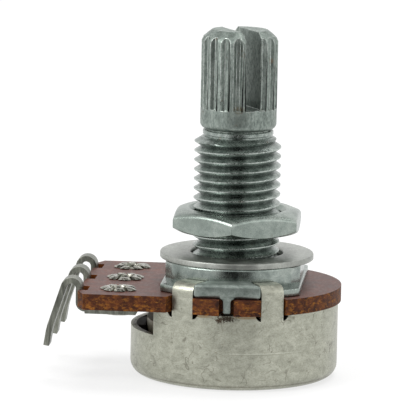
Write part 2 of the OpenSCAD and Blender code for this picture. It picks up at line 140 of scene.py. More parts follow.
def dress(piece, body, materials, stands=()):
    # shading, finish, body and the nodes it stands for
    for polygon in piece.data.polygons:
        polygon.use_smooth = True
    piece.data.set_sharp_from_angle(angle=math.radians(sharpAngle))
    piece.data.materials.clear()
    for material in materials:
        piece.data.materials.append(material)
    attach(piece, body)
    if stands:
        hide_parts(*stands)


def paint(piece, choose):
    # picks each face's material by where it lies, in millimetres, and how it faces
    for polygon in piece.data.polygons:
        polygon.material_index = choose(*(polygon.center / mm), polygon.normal)


def turnRound(bm, angle, verts=None):
    # turns a shape, or some points of it, about the shaft's axis
    bmesh.ops.rotate(bm, cent=(0, 0, 0), matrix=Matrix.Rotation(angle, 3, "Z"),
            verts=bm.verts if verts is None else verts)


def spinRound(bm, geom, angle, steps, climb=0, **options):
    # sweeps about the shaft's axis, climbing a little at each step
    bmesh.ops.spin(bm, geom=geom, cent=(0, 0, 0), axis=(0, 0, 1), dvec=(0, 0, climb),
            angle=angle, steps=steps, **options)


def lathe(bm, profile, steps=96, closed=True):
    # turns a section, given as (radius, height), once round the shaft's axis
    verts = [bm.verts.new((r, 0, z)) for r, z in profile]
    ends = verts[1:] + (verts[:1] if closed else [])
    edges = [bm.edges.new(pair) for pair in zip(verts, ends)]
    spinRound(bm, verts + edges, fullTurn, steps, use_merge=True)
    bmesh.ops.remove_doubles(bm, verts=bm.verts, dist=weld)


def arcPoints(x, z, radius, start, end, steps):
    # points of a section along an arc about (x, z), in degrees
    turns = [math.radians(start + (end - start) * i / steps) for i in range(steps + 1)]
    return [(x + radius * math.cos(a), z + radius * math.sin(a)) for a in turns]


def bevelEdges(bm, edges, width, segments, slot=-1):
    bmesh.ops.bevel(bm, geom=edges, offset=width, offset_type="OFFSET", affect="EDGES",
            segments=segments, profile=0.5, clamp_overlap=True, material=slot)


def roundOff(bm, width, segments=3, angle=40):
    # rounds every sharp edge of one closed shape
    sharp = math.radians(angle)
    edges = [e for e in bm.edges if e.is_manifold and e.calc_face_angle(0) > sharp]
    bevelEdges(bm, edges, width, segments)


def gather(shapes, name):
    # puts closed shapes that sit in one another together as one piece
    whole = bmesh.new()
    for shape in shapes:
        bmesh.ops.recalc_face_normals(shape, faces=shape.faces)
        mesh = bpy.data.meshes.new("part")
        shape.to_mesh(mesh)
        shape.free()
        whole.from_mesh(mesh)
        bpy.data.meshes.remove(mesh)
    return toPiece(whole, name)


def trim(bm, point, normal, close=True):
    # planes off everything on the normal's side and closes the cut
    bmesh.ops.bisect_plane(bm, geom=allOf(bm), dist=cutSlack, plane_co=point, plane_no=normal,
            clear_outer=True)
    rim = [e for e in bm.edges if e.is_boundary]
    if rim and close:
        bmesh.ops.holes_fill(bm, edges=rim)


def block(bm, low, high):
    # a box between two corners
    size = [b - a for a, b in zip(low, high)]
    middle = [(a + b) / 2 for a, b in zip(low, high)]
    where = Matrix.Translation(middle) @ Matrix.Diagonal((*size, 1))
    return bmesh.ops.create_cube(bm, size=1, matrix=where)["verts"]


def plug(bm, x, y, radius, low, high, segments=48):
    # a round shape standing between two heights
    where = Matrix.Translation((x, y, (low + high) / 2))
    bmesh.ops.create_cone(bm, cap_ends=True, segments=segments, radius1=radius, radius2=radius,
            depth=high - low, matrix=where)


def outline(bm, points, move):
    # a flat outline of a few points, pulled out along a direction
    face = bm.faces.new([bm.verts.new(p) for p in points])
    pulled = bmesh.ops.extrude_face_region(bm, geom=[face])["geom"]
    bmesh.ops.translate(bm, vec=move, verts=vertsOf(pulled))


# Tools for materials
def toLinear(hexColour):
    # sRGB hex to the linear colour that the shader wants
    parts = [int(hexColour[i:i + 2], 16) / 255 for i in (1, 3, 5)]
    return tuple(c / 12.92 if c <= 0.04045 else ((c + 0.055) / 1.055) ** 2.4 for c in parts) + (1.0,)


def addNode(tree, kind, inputs=None, **props):
    # one node with its properties, values and links
    node = tree.nodes.new(kind)
    for name, value in props.items():
        setattr(node, name, value)
    for name, value in (inputs or {}).items():
        if isinstance(value, bpy.types.NodeSocket):
            tree.links.new(value, node.inputs[name])
        else:
            node.inputs[name].default_value = value
    return node


def newMaterial(name):
    material = bpy.data.materials.new(name)
    material.use_nodes = True
    tree = material.node_tree
    tree.nodes.clear()
    shader = addNode(tree, "ShaderNodeBsdfPrincipled")
    addNode(tree, "ShaderNodeOutputMaterial", {"Surface": shader.outputs[0]})
    coords = addNode(tree, "ShaderNodeTexCoord").outputs["Object"]
    return material, tree, shader, coords


def noise(tree, vector, size, detail, roughness=0.5, distortion=0.0):
    # size is the width of the largest patches in millimetres
    return addNode(tree, "ShaderNodeTexNoise", {
        "Vector": vector, "Scale": 1000 / size, "Detail": detail, "Roughness": roughness,
        "Distortion": distortion}).outputs["Fac"]


def stretched(tree, vector, scale, turn=(0, 0, 0)):
    inputs = {"Vector": vector, "Scale": scale, "Rotation": turn}
    return addNode(tree, "ShaderNodeMapping", inputs).outputs[0]


def ramp(tree, value, places, tones):
    node = addNode(tree, "ShaderNodeValToRGB", {0: value})
    elements = node.color_ramp.elements
    while len(elements) < len(places):
        elements.new(0.5)
    for element, place, tone in zip(elements, places, tones):
        element.position = place
        element.color = toLinear(tone)
    return node.outputs[0]


def remap(tree, value, fromLow, fromHigh, toLow=0.0, toHigh=1.0):
    return addNode(tree, "ShaderNodeMapRange",
            {0: value, 1: fromLow, 2: fromHigh, 3: toLow, 4: toHigh}).outputs[0]


def reckon(tree, operation, *values):
    return addNode(tree, "ShaderNodeMath", dict(enumerate(values)), operation=operation).outputs[0]


def reckonVector(tree, operation, *values):
    node = addNode(tree, "ShaderNodeVectorMath", dict(enumerate(values)), operation=operation)
    return node.outputs["Value" if operation == "LENGTH" else "Vector"]


def tint(tree, share, under, colour):
    # lays a colour over another by its share
    return addNode(tree, "ShaderNodeMix", {0: share, 6: under, 7: toLinear(colour)},
            data_type="RGBA").outputs[2]


def bump(tree, strength, depth, height, under=None):
    inputs = {"Strength": strength, "Distance": depth * mm, "Height": height}
    if under:
        inputs["Normal"] = under
    return addNode(tree, "ShaderNodeBump", inputs).outputs[0]


def finishShader(tree, shader, colour, roughness, normal):
    for name, value in (("Base Color", colour), ("Roughness", roughness), ("Normal", normal)):
        tree.links.new(value, shader.inputs[name])


# Plated and tinned metal, mottled: cloudy patches, fine grain, a few stains.
# A look gives tones (dark, base, pale), cloud (size, height), grain (size, depth,
# height, colour), stain (size, threshold, depth, colour) and rough (least, most).
# Some add stretch and turn of the grain, scratch (size, width, patch, depth, colour),
# scarsAndShade, for marks and painted shade (centre, size, raggedness, depth, colour),
# and bands (radius where it starts, radius where it is full, lowest, highest, depth, least share, colour).
def platedMetal(name, look):
    material, tree, shader, coords = newMaterial(name)
    place = stretched(tree, coords, look.get("stretch", (1, 1, 1)), look.get("turn", (0, 0, 0)))
    # cloud: patches of plating that took up more or less shine
    cloudSize, cloudHeight = look["cloud"]
    cloud = noise(tree, place, cloudSize, 5.0, 0.62, 0.4)
    tone = ramp(tree, cloud, (0.32, 0.5, 0.68), look["tones"])
    # grain: the fine bite of the blank under the plating
    grainSize, grainDepth, grainHeight, grainColour = look["grain"]
    grain = noise(tree, place, grainSize, 3.0, 0.7)
    grainMask = remap(tree, grain, 0.42, 0.7, 0.0, grainDepth)
    colour = tint(tree, grainMask, tone, grainColour)
    # stains: rare spots where the plating is worn or has a trace of rust
    stainSize, threshold, stainDepth, stainColour = look["stain"]
    stain = noise(tree, coords, stainSize, 4.0, 0.75)
    stainMask = remap(tree, stain, threshold, threshold + 0.08, 0.0, stainDepth)
    colour = tint(tree, stainMask, colour, stainColour)
    height = grain
    if "scratch" in look:
        # scratches: thin contour lines of a slow noise, kept only in patches
        size, width, patch, depth, shade = look["scratch"]
        offset = reckon(tree, "SUBTRACT", noise(tree, coords, size, 1.0, 0.4, 0.8), 0.5)
        thin = remap(tree, reckon(tree, "ABSOLUTE", offset), 0.0, width, 1.0, 0.0)
        kept = remap(tree, noise(tree, coords, patch, 1.0), 0.5, 0.58)
        deep = reckon(tree, "MULTIPLY", reckon(tree, "MULTIPLY", thin, kept), depth)
        colour = tint(tree, deep, colour, shade)
        height = reckon(tree, "SUBTRACT", height, deep)
    for centre, size, ragged, depth, shade in look.get("scarsAndShade", []):
        # scarsAndShade: one mark at its own place, broken up by the grain; stains and scratches, and on the
        # can painted shade under the front tooth and a painted shadow below a scratch
        reach = reckonVector(tree, "SUBTRACT", coords, [c * mm for c in centre])
        shaped = reckonVector(tree, "MULTIPLY", reach, [1 / (c * mm) for c in size])
        edge = reckon(tree, "MULTIPLY_ADD", grain, ragged, reckonVector(tree, "LENGTH", shaped))
        fade = remap(tree, edge, ragged * 0.5 + 0.55, ragged * 0.5 + 1.0, depth, 0.0)
        colour = tint(tree, fade, colour, shade)
    for clear, full, low, high, depth, least, shade in look.get("bands", []):
        # bands: a tone that comes in away from the axis, between two heights
        radius = reckonVector(tree, "LENGTH", reckonVector(tree, "MULTIPLY", coords, (1, 1, 0)))
        come = remap(tree, radius, clear * mm, full * mm, 0.0, depth)
        z = addNode(tree, "ShaderNodeSeparateXYZ", {0: coords}).outputs[2]
        above = remap(tree, z, low * mm, (low + 0.1) * mm)
        below = remap(tree, z, high * mm, (high - 0.1) * mm)
        broken = remap(tree, grain, 0.42, 0.56, least, 1.0)
        kept = reckon(tree, "MULTIPLY", reckon(tree, "MULTIPLY", above, below), broken)
        colour = tint(tree, reckon(tree, "MULTIPLY", come, kept), colour, shade)
    rough = remap(tree, cloud, 0.3, 0.7, *look["rough"])
    rougher = reckon(tree, "MULTIPLY_ADD", grainMask, 0.35, rough)
    wave = bump(tree, cloudHeight, 0.02, cloud)
    finishShader(tree, shader, colour, rougher, bump(tree, grainHeight, 0.006, height, wave))
    shader.inputs["Metallic"].default_value = 1.0
    return material


# Bright zinc plate on a die-cast bushing: bluish, glossy, a little cloudy.
zincCast = platedMetal("zinc plate on die casting", {
    "tones": ("#747d78", "#8f9892", "#a9b1aa"), "cloud": (1.3, 0.45),
    "grain": (0.12, 0.35, 0.35, "#5c6668"), "stain": (1.1, 0.66, 0.5, "#6a5a48"), "rough": (0.16, 0.28)})

# The cast lips, duller than the boss: their skin was left as it came from the die.
zincLip = platedMetal("zinc plate, dull cast lip", {
    "tones": ("#717a75", "#8b948e", "#a3aba5"), "cloud": (1.0, 0.3),
    "grain": (0.12, 0.45, 0.6, "#59625f"), "stain": (1.1, 0.66, 0.5, "#6a5a48"), "rough": (0.40, 0.50)})

# The same plate on rolled thread, with painted shade in the roots and a painted highlight on the crests.
zincThread = platedMetal("zinc plate on rolled thread", {
    "tones": ("#737c76", "#98a19b", "#b9c1bb"), "cloud": (0.7, 0.6),
    "grain": (0.12, 0.6, 1.4, "#5d6667"), "stain": (1.0, 0.64, 0.6, "#6f5b47"), "rough": (0.13, 0.26),
    # bands: painted shade towards the roots, then a painted highlight on the crests
    "bands": [(3.2, 3.0, 8.6, 18.9, 0.6, 0.8, "#454d49"), (3.36, 3.42, 8.6, 18.9, 0.5, 0.0, "#d9dfda")]})

# Zinc plate on a turned and splined steel shaft: lengthwise drawing marks.
zincShaft = platedMetal("zinc plate on splined steel", {
    "tones": ("#747d76", "#919b94", "#a8b1aa"), "cloud": (0.8, 0.5), "stretch": (1, 1, 0.5),
    "grain": (0.14, 0.7, 0.8, "#4d5656"), "stain": (0.9, 0.63, 0.75, "#6d5441"), "rough": (0.32, 0.46),
    "scarsAndShade": [((0.25, -2.8, 21.3), (0.5, 0.6, 0.35), 1.2, 0.7, "#75684f"),
        ((2.6, -1.3, 25.0), (0.25, 0.4, 0.35), 1.0, 0.6, "#7a6048")]})

# The shaft's own edges, painted a little brighter than its faces as a highlight.
zincShaftHighlight = platedMetal("zinc plate, painted highlight on spline edge", {
    "tones": ("#929a94", "#b3bbb5", "#d6dcd7"), "cloud": (0.6, 0.4),
    "grain": (0.12, 0.6, 0.5, "#646d69"), "stain": (0.8, 0.64, 0.6, "#6d5441"), "rough": (0.22, 0.34)})

# Zinc plate on a pressed steel nut: even grey, soft shine.
zincNut = platedMetal("zinc plate on pressed nut", {
    "tones": ("#78817b", "#909a93", "#a8b0a9"), "cloud": (1.6, 0.45),
    "grain": (0.12, 0.35, 0.45, "#636c6d"), "stain": (1.2, 0.68, 0.5, "#6d6255"), "rough": (0.18, 0.30)})

# The same nut's chamfer arcs, painted lighter as a highlight.
zincArcHighlight = platedMetal("zinc plate, painted highlight on chamfer arcs", {
    "tones": ("#b4bdb7", "#d3dad5", "#eef3ef"), "cloud": (0.8, 0.4),
    "grain": (0.10, 0.4, 0.4, "#8f9894"), "stain": (0.8, 0.68, 0.5, "#7d7265"), "rough": (0.16, 0.26)})

# Nickel plate on a punched steel washer: paler and warmer, satin, tumbled.
satinWasher = platedMetal("satin nickel on punched washer", {
    "tones": ("#929590", "#a5a8a2", "#b8bbb5"), "cloud": (1.4, 0.35),
    "grain": (0.13, 0.45, 1.0, "#7d7d78"), "stain": (0.5, 0.70, 0.8, "#5d5b55"), "rough": (0.28, 0.40)})

# Tin plate on drawn steel sheet: pale, warm, scuffed, with dots of rust. The marks
# are a dark patch under the front tooth, partly staking scar and partly painted shade,
# two brown rims and a long light scratch with a painted shadow below it; the band browns the inner edge of
# the window.
tinCan = platedMetal("tin plate on drawn can", {
    "tones": ("#999a8d", "#adaea0", "#bebfb1"), "cloud": (0.8, 0.45), "stretch": (1, 1, 1.5),
    "grain": (0.13, 0.45, 0.6, "#76776b"), "stain": (0.3, 0.64, 0.65, "#6d614c"), "rough": (0.26, 0.40),
    "scratch": (1.1, 0.022, 1.0, 0.6, "#5d594d"),
    # the first two marks: painted shade under the front tooth, over a staking scar
    "scarsAndShade": [((0.05, -8.15, 5.78), (0.85, 0.5, 0.32), 3.5, 0.95, "#2e251c"),
        ((-0.55, -8.15, 5.62), (0.35, 0.5, 0.25), 3.5, 0.9, "#44362a"),
        ((1.6, -8.0, 5.88), (1.2, 1.0, 0.14), 1.3, 0.7, "#86704c"),
        ((-1.9, -7.9, 5.88), (0.9, 1.0, 0.14), 1.3, 0.7, "#86704c"),
        # a light scratch, then its painted shadow below it
        ((2.9, -7.6, 3.02), (3.8, 3.0, 0.05), 1.2, 0.5, "#c9cbbd"),
        ((2.9, -7.6, 2.93), (3.6, 3.0, 0.05), 1.2, 0.5, "#8d8e80")],
    "bands": [(8.05, 7.9, 0.3, 5.9, 0.9, 0.8, "#433528")]})

# Dull tin plate on stamped brass tags: long streaks from the rolled strip.
dullTin = platedMetal("dull tin on stamped brass", {
    "tones": ("#5d5f57", "#7d7f76", "#a2a499"), "cloud": (0.5, 0.4), "stretch": (1, 1, 0.18),
    "turn": (0, math.radians(-14), 0),
    "grain": (0.1, 0.45, 0.5, "#55564f"), "stain": (0.7, 0.68, 0.5, "#5f574a"), "rough": (0.28, 0.42)})

# Bright tin on set rivets: hammered smooth, so nearly a mirror.
brightTin = platedMetal("bright tin on set rivet", {
    "tones": ("#6d6c64", "#9d9c92", "#cdccc2"), "cloud": (0.4, 0.6),
    "grain": (0.1, 0.25, 0.3, "#6f6d62"), "stain": (0.6, 0.62, 0.7, "#4b4438"), "rough": (0.12, 0.26)})

# Spring steel of the retaining ring and thrust washer: dark, oiled.
springSteel = platedMetal("oiled spring steel", {
    "tones": ("#5d6063", "#7d8083", "#969a9c"), "cloud": (0.8, 0.3),
    "grain": (0.1, 0.3, 0.3, "#4d5052"), "stain": (0.7, 0.7, 0.4, "#5e4c3c"), "rough": (0.22, 0.34)})

# Phosphor bronze of the wiper: warm, rolled bright.
springBronze = platedMetal("phosphor bronze strip", {
    "tones": ("#a67c45", "#c79a5b", "#dbb77d"), "cloud": (0.8, 0.3), "stretch": (1, 0.25, 1),
    "grain": (0.08, 0.3, 0.3, "#7f5d33"), "stain": (0.7, 0.7, 0.4, "#6a4a2a"), "rough": (0.2, 0.32)})


# Paper and phenolic resin laminate. The face is pressed smooth and reddish,
# with a resin gloss; the punched edge shows torn paper layers and soaked spots.
# A look gives tones, blot (size), layer (size, depth, height, colour) and stretch.
def phenolicLaminate(name, look):
    material, tree, shader, coords = newMaterial(name)
    blot = noise(tree, coords, look["blot"], 5.0, 0.65, 0.5)
    tone = ramp(tree, blot, (0.34, 0.5, 0.66), look["tones"])
    size, depth, height, layerColour = look["layer"]
    layer = noise(tree, stretched(tree, coords, look["stretch"]), size, 4.0, 0.7)
    colour = tint(tree, remap(tree, layer, 0.5, 0.7, 0.0, depth), tone, layerColour)
    rough = remap(tree, layer, 0.3, 0.7, *look["rough"])
    finishShader(tree, shader, colour, rough, bump(tree, height, 0.02, layer))
    shader.inputs["IOR"].default_value = 1.6  # cured phenolic resin
    shader.inputs["Specular IOR Level"].default_value = look["sheen"]
    return material


laminateFace = phenolicLaminate("phenolic laminate, pressed face", {
    "tones": ("#3b1b11", "#4c2417", "#5c2f20"), "blot": 1.2, "stretch": (1, 0.3, 1),
    "layer": (0.2, 0.35, 0.3, "#70402d"), "rough": (0.42, 0.56), "sheen": 0.4})
# the notches by the tags: a lighter copy of the punched edge, painted light in the recess
laminateNotchLit = phenolicLaminate("phenolic laminate, notch with painted light", {
    "tones": ("#6b3512", "#8a4a1e", "#a5622f"), "blot": 0.6, "stretch": (0.7, 0.7, 1.5),
    "layer": (0.26, 0.5, 0.6, "#b9783a"), "rough": (0.5, 0.7), "sheen": 0.15})
laminateCut = phenolicLaminate("phenolic laminate, punched edge", {
    "tones": ("#270f04", "#45200a", "#653612"), "blot": 0.6, "stretch": (0.7, 0.7, 1.5),
    "layer": (0.26, 0.85, 0.9, "#96601f"), "rough": (0.5, 0.7), "sheen": 0.15})


# Printed inks, moulded plastic and the painted shade inside the can: fine even grain.
# A look gives tones (dark, pale) and grain (size, height).
def grainedSurface(name, look):
    material, tree, shader, coords = newMaterial(name)
    size, height = look["grain"]
    grain = noise(tree, coords, size, 4.0, 0.6)
    tone = ramp(tree, grain, (0.35, 0.65), look["tones"])
    rough = remap(tree, grain, 0.3, 0.7, *look["rough"])
    finishShader(tree, shader, tone, rough, bump(tree, height, 0.01, grain))
    shader.inputs["Metallic"].default_value = look["metallic"]
    return material


carbonInk = grainedSurface("screen-printed carbon ink", {
    "tones": ("#141414", "#2a2a2b"), "grain": (0.08, 0.5), "rough": (0.45, 0.6), "metallic": 0.0})
silverInk = grainedSurface("screen-printed silver ink", {
    "tones": ("#b4b2aa", "#d2d0c8"), "grain": (0.08, 0.5), "rough": (0.4, 0.55), "metallic": 1.0})
# the rotor's acetal, toned darker than cream
mouldedAcetal = grainedSurface("moulded acetal, toned darker", {
    "tones": ("#8f8975", "#aca692"), "grain": (0.5, 0.25), "rough": (0.45, 0.6), "metallic": 0.0})
# the can's inside, painted dark as shade
canInsideShade = grainedSurface("painted shade inside the can", {
    "tones": ("#191512", "#2b251f"), "grain": (0.3, 0.3), "rough": (0.6, 0.75), "metallic": 0.0})
print("materials ready")

rows = (-5.0, 0.0, 5.0)  # where the three terminals lie along Y
tabTurns = (-115.5, -64.5, 64.5, 115.5)  # directions of the can's four tabs

# Bushing casting: boss, plate and its two lips
casting = {
    "foot": 7.25, "plateTop": 7.85, "face": 9.25,  # heights of plate and boss
    "plateRadius": 7.6, "plateFlat": 5.45,
    "bossRadius": 6.2, "bossFlat": 5.3, "bossCorner": 0.35, "cornerFacing": (0.93, 0.37),
    "hole": 3.2, "recessRadius": 4.3, "recessTop": 8.4,
    "lipHalf": 2.9, "lipTop": 8.39, "lipReach": 8.0, "lipBack": 5.4,
    "toothHalf": 0.3, "toothLow": 6.12, "toothDepth": 0.55, "toothFillet": 0.26,
    "tabTurn": 25.5, "tabHalf": 1.025,  # where the folded tabs lie
    "softness": 0.16, "plateSoftness": 0.14, "lipSoftness": 0.3, "toothSoftness": 0.07,
    "step": 0.02,  # keeps faces off one another's plane
}


def lipShape(s, half):
    # lip between two tabs, at the front (-Y) or turned round to the back
    bm = bmesh.new()
    block(bm, (-s.lipHalf, -s.lipReach, s.foot + s.step), (s.lipHalf, -s.lipBack, s.lipTop))
    turn = math.radians(s.tabTurn)
    for side in (-1, 1):
        across = Vector((side * math.cos(turn), math.sin(turn), 0))
        trim(bm, -across * s.tabHalf, across)
    roundOff(bm, s.lipSoftness, 5)
    turnRound(bm, half)
    return bm


def toothShape(s, half):
    # stem of a T that locates the wafer, filleted where it leaves the lip
    bm = bmesh.new()
    stem, low, fillet = s.toothHalf, s.toothLow, s.toothFillet
    right = [(stem - 0.08, low), (stem, low + 0.12)]
    right += arcPoints(stem + fillet, s.foot + s.step - fillet, fillet, 180, 90, 6)
    right += [(stem + fillet, s.foot + 0.3)]
    section = right + [(-x, z) for x, z in reversed(right)]
    outline(bm, [(x, -s.lipReach + s.step, z) for x, z in section], (0, s.toothDepth - s.step, 0))
    roundOff(bm, s.toothSoftness, 2, 60)
    turnRound(bm, half)
    return bm


def bossBlock(s):
    bm = bmesh.new()
    lathe(bm, [(s.recessRadius, s.foot), (s.bossRadius, s.foot), (s.bossRadius, s.face),
            (s.hole, s.face), (s.hole, s.recessTop), (s.recessRadius, s.recessTop)],
          steps=160)
    for side in (-1, 1):
        trim(bm, (side * s.bossFlat, 0, 0), (side, 0, 0))
    corner = math.sqrt(s.bossRadius ** 2 - s.bossFlat ** 2)
    for sx in (-1, 1):
        for sy in (-1, 1):
            out = Vector((sx * s.cornerFacing[0], sy * s.cornerFacing[1], 0)).normalized()
            trim(bm, (sx * s.bossFlat, sy * (corner - 2 * s.bossCorner), 0), out)
    roundOff(bm, s.softness)
    return bm


def plateSheet(s):
    bm = bmesh.new()
    inner, low = s.recessRadius + 0.1, s.foot + s.step / 2
    lathe(bm, [(inner, low), (s.plateRadius, low), (s.plateRadius, s.plateTop), (inner, s.plateTop)],
          steps=160)
    for side in (-1, 1):
        trim(bm, (side * s.plateFlat, 0, 0), (side, 0, 0))
    roundOff(bm, s.plateSoftness)
    return bm


def boss(s):
    shapes = [bossBlock(s), plateSheet(s)]
    for half in (0, math.pi):
        shapes += [lipShape(s, half), toothShape(s, half)]
    piece = gather(shapes, "bushingBoss")
    dress(piece, "housing", [zincCast, zincLip], ["bushing_plate"])

    def lipOrBoss(x, y, z, normal):
        aboveLip = abs(y) > s.bossRadius + 0.05 and z > s.plateTop + s.step
        return int(aboveLip or abs(y) > s.plateRadius + s.step / 2)

    paint(piece, lipOrBoss)


boss(named(casting))
print("boss, plate and lips done")

# Screw thread, with the bushing's smooth neck above it
thread = {
    "pitch": 0.75, "crest": 3.42, "root": 2.92, "crestFlat": 0.12,
    "low": 9.0, "high": 18.9, "neckTop": 19.4, "neck": 2.78, "relief": 0.16, "bore": 2.55, "chamfer": 1.6,
    "crestAt": 13.97, "crestTurn": 184.78,  # height of one crest, and where round the axis
    "stepsPerTurn": 96, "ease": 0.02, "weld": 0.0006,
}


def bushingThread(s):
    # one pitch of the thread form, wound upwards; turns share their edges
    bm = bmesh.new()
    pitch, middle, top, ease = s.pitch, s.pitch / 2, s.crestFlat / 2, s.ease
    flank = (s.crest - s.root) * math.tan(math.radians(30))
    rising = [(s.root, middle), (s.root + 0.015, top + flank), (s.crest - 0.05, top + ease),
            (s.crest, top - ease)]
    form = [(r, middle - z) for r, z in rising] + [(r, middle + z) for r, z in reversed(rising)]
    start = s.crestAt - middle - pitch * s.crestTurn / 360
    start -= pitch * math.ceil((start - s.low) / pitch + 1)
    turns = math.ceil((s.high - start) / pitch) + 1
    verts = [bm.verts.new((r, 0, start + z)) for r, z in form]
    edges = [bm.edges.new(pair) for pair in zip(verts, verts[1:])]
    spinRound(bm, verts + edges, fullTurn * turns, s.stepsPerTurn * turns, pitch / s.stepsPerTurn)
    bmesh.ops.remove_doubles(bm, verts=bm.verts, dist=s.weld)
    trim(bm, (0, 0, s.low), (0, 0, -1), close=False)
    trim(bm, (0, 0, s.high), (0, 0, 1), close=False)
    for v in bm.verts:
        # the chamfer turned on the end takes the crests down to the neck
        r, limit = math.hypot(v.co.x, v.co.y), s.neck + 0.02 + s.chamfer * (s.high - v.co.z)
        if r > limit:
            v.co.x, v.co.y = v.co.x * limit / r, v.co.y * limit / r
    ends = [e for e in bm.edges if e.is_boundary]
    foot = [e for e in ends if e.verts[0].co.z < s.low + 0.01]
    rim = [e for e in ends if e.verts[0].co.z > s.high - 0.01]
    relief, neck, neckTop = s.neck - s.relief, s.neck, s.neckTop
    # a shallow groove parts the neck from the first turn; then its end and the bore
    for radius, height in ((relief, s.high), (relief, s.high + 0.12), (neck, s.high + 0.2),
            (neck, neckTop - 0.05), (neck - 0.05, neckTop), (s.bore + 0.04, neckTop),
            (s.bore, neckTop - 0.04), (s.bore, s.low)):
        grown = bmesh.ops.extrude_edge_only(bm, edges=rim)["geom"]
        rim = edgesOf(grown)
        for v in vertsOf(grown):
            r = math.hypot(v.co.x, v.co.y)
            v.co = (v.co.x * radius / r, v.co.y * radius / r, height)
    bmesh.ops.bridge_loops(bm, edges=foot + rim)
    dress(toPiece(bm, "bushingThread"), "housing", [zincThread])


bushingThread(named(thread))
print("thread wound")

# Flat washer
washer = {
    "low": 9.25, "thick": 0.45, "outer": 6.06, "inner": 3.65, "edge": 0.07, "underEdge": 0.03,
    "aside": 0.09,
}


def flatWasher(s):
    # punched, so rounded above and nearly sharp below
    bm = bmesh.new()
    inner, outer, edge, under = s.inner, s.outer, s.edge, s.underEdge
    low, high = s.low, s.low + s.thick
    lathe(bm, [(inner + edge, low), (outer - under, low), (outer, low + under), (outer, high - edge * 1.6),
            (outer - edge * 0.5, high - edge * 0.5), (outer - edge * 1.6, high), (inner + edge, high),
            (inner, high - edge), (inner, low + edge)], steps=160)
    bmesh.ops.translate(bm, vec=(s.aside, 0, 0), verts=bm.verts)
    dress(toPiece(bm, "flatWasher"), "housing", [satinWasher], ["flat_washer"])


flatWasher(named(washer))

# Hex nut
nut = {
    "low": 11.45, "thick": 1.75, "flats": 9.72, "bore": 3.5, "sink": 0.35, "underEdge": 0.05,
    "underSlope": 30, "topEdge": 0.5, "topSlope": 22, "aside": 0.08, "rubbed": 0.26, "softness": 0.05,
}


def hexNut(s):
    # a chamfered blank turned first, then planed to six sides with corners front and back
    bm = bmesh.new()
    flat, mouth = s.flats / 2, s.bore + s.sink
    corner, under, top = flat / math.cos(math.pi / 6), flat - s.underEdge, flat - s.topEdge
    rise = (corner - under) * math.tan(math.radians(s.underSlope))
    drop = (corner - top) * math.tan(math.radians(s.topSlope))
    low, high = s.low, s.low + s.thick
    lathe(bm, [(mouth, low), (under, low), (corner + 0.02, low + rise), (corner + 0.02, high - drop),
            (top, high), (mouth, high), (s.bore, high - s.sink), (s.bore, low + s.sink)], steps=192)
    for i in range(6):
        a = math.radians(60 * i)
        out = Vector((math.cos(a), math.sin(a), 0))
        trim(bm, out * flat, out)
    bmesh.ops.recalc_face_normals(bm, faces=bm.faces)
    arcs = []
    for e in bm.edges:
        # the arcs where the upper chamfer meets the six sides, rounded and painted bright as a highlight
        ups = sorted(f.normal.z for f in e.link_faces)
        sideToChamfer = len(ups) == 2 and abs(ups[0]) < 0.05 and 0.5 < ups[1] < 0.99
        if sideToChamfer and e.verts[0].co.xy.length > s.bore + 1:
            arcs.append(e)
    # the arcs' bevel takes slot 1, the painted highlight
    bevelEdges(bm, arcs, s.rubbed, 4, 1)
    bmesh.ops.translate(bm, vec=(s.aside, 0, 0), verts=bm.verts)
    piece = toPiece(bm, "hexNut")
    softenEdges(piece, s.softness, 28)
    dress(piece, "nut", [zincNut, zincArcHighlight], ["hex_nut"])


hexNut(named(nut))
print("washer and nut done")

# Shaft
spindle = {
    "top": 27.3, "headLow": 19.52, "headRadius": 3.0, "headRound": 0.45, "tip": 0.82, "tipHeight": 0.86,
    "journal": 2.5, "shoulder": 7.3, "grooveRadius": 1.9, "grooveLow": 7.49, "grooveHigh": 8.1,
    "splines": 18, "splineAt": -77.5, "splineLow": 21.18, "splineDepth": 0.27, "land": 0.25,
    "rootHalf": 0.14, "slotWidth": 1.34, "slotLow": 21.25, "slotTurn": -62.5,
    "tail": 2.0, "tailFlat": 1.45, "tailLow": 3.42, "stakeLow": 3.02, "stake": 2.35,
    "softness": 0.045, "sliver": 0.06,
    "tipRound": ((0, 1), (0.17, 0.66), (0.54, 0.33), (0.85, 0.1), (1, 0)),   # shares of tip and tipHeight
}


def splineCutter(s):
    # V grooves with a flat root, one round the head for each spline
    bm = bmesh.new()
    mouth = (fullTurn * s.headRadius / s.splines - s.land) / 2
    floor, past = s.headRadius - s.splineDepth, 0.3
    wide = mouth + (mouth - s.rootHalf) / s.splineDepth * past
    section = [(floor, -s.rootHalf), (s.headRadius + past, -wide), (s.headRadius + past, wide),
            (floor, s.rootHalf)]
    outline(bm, [(x, y, s.splineLow) for x, y in section], (0, 0, 8))
    turnRound(bm, math.radians(s.splineAt + 180 / s.splines))
    others = s.splines - 1
    spinRound(bm, allOf(bm), fullTurn * others / s.splines, others, use_duplicate=True)
    return toPiece(bm, "grooves")


def slotCutter(s):
    bm = bmesh.new()
    block(bm, (-5, -s.slotWidth / 2, s.slotLow), (5, s.slotWidth / 2, s.top + 1))
    turnRound(bm, math.radians(s.slotTurn))
    return toPiece(bm, "slot")


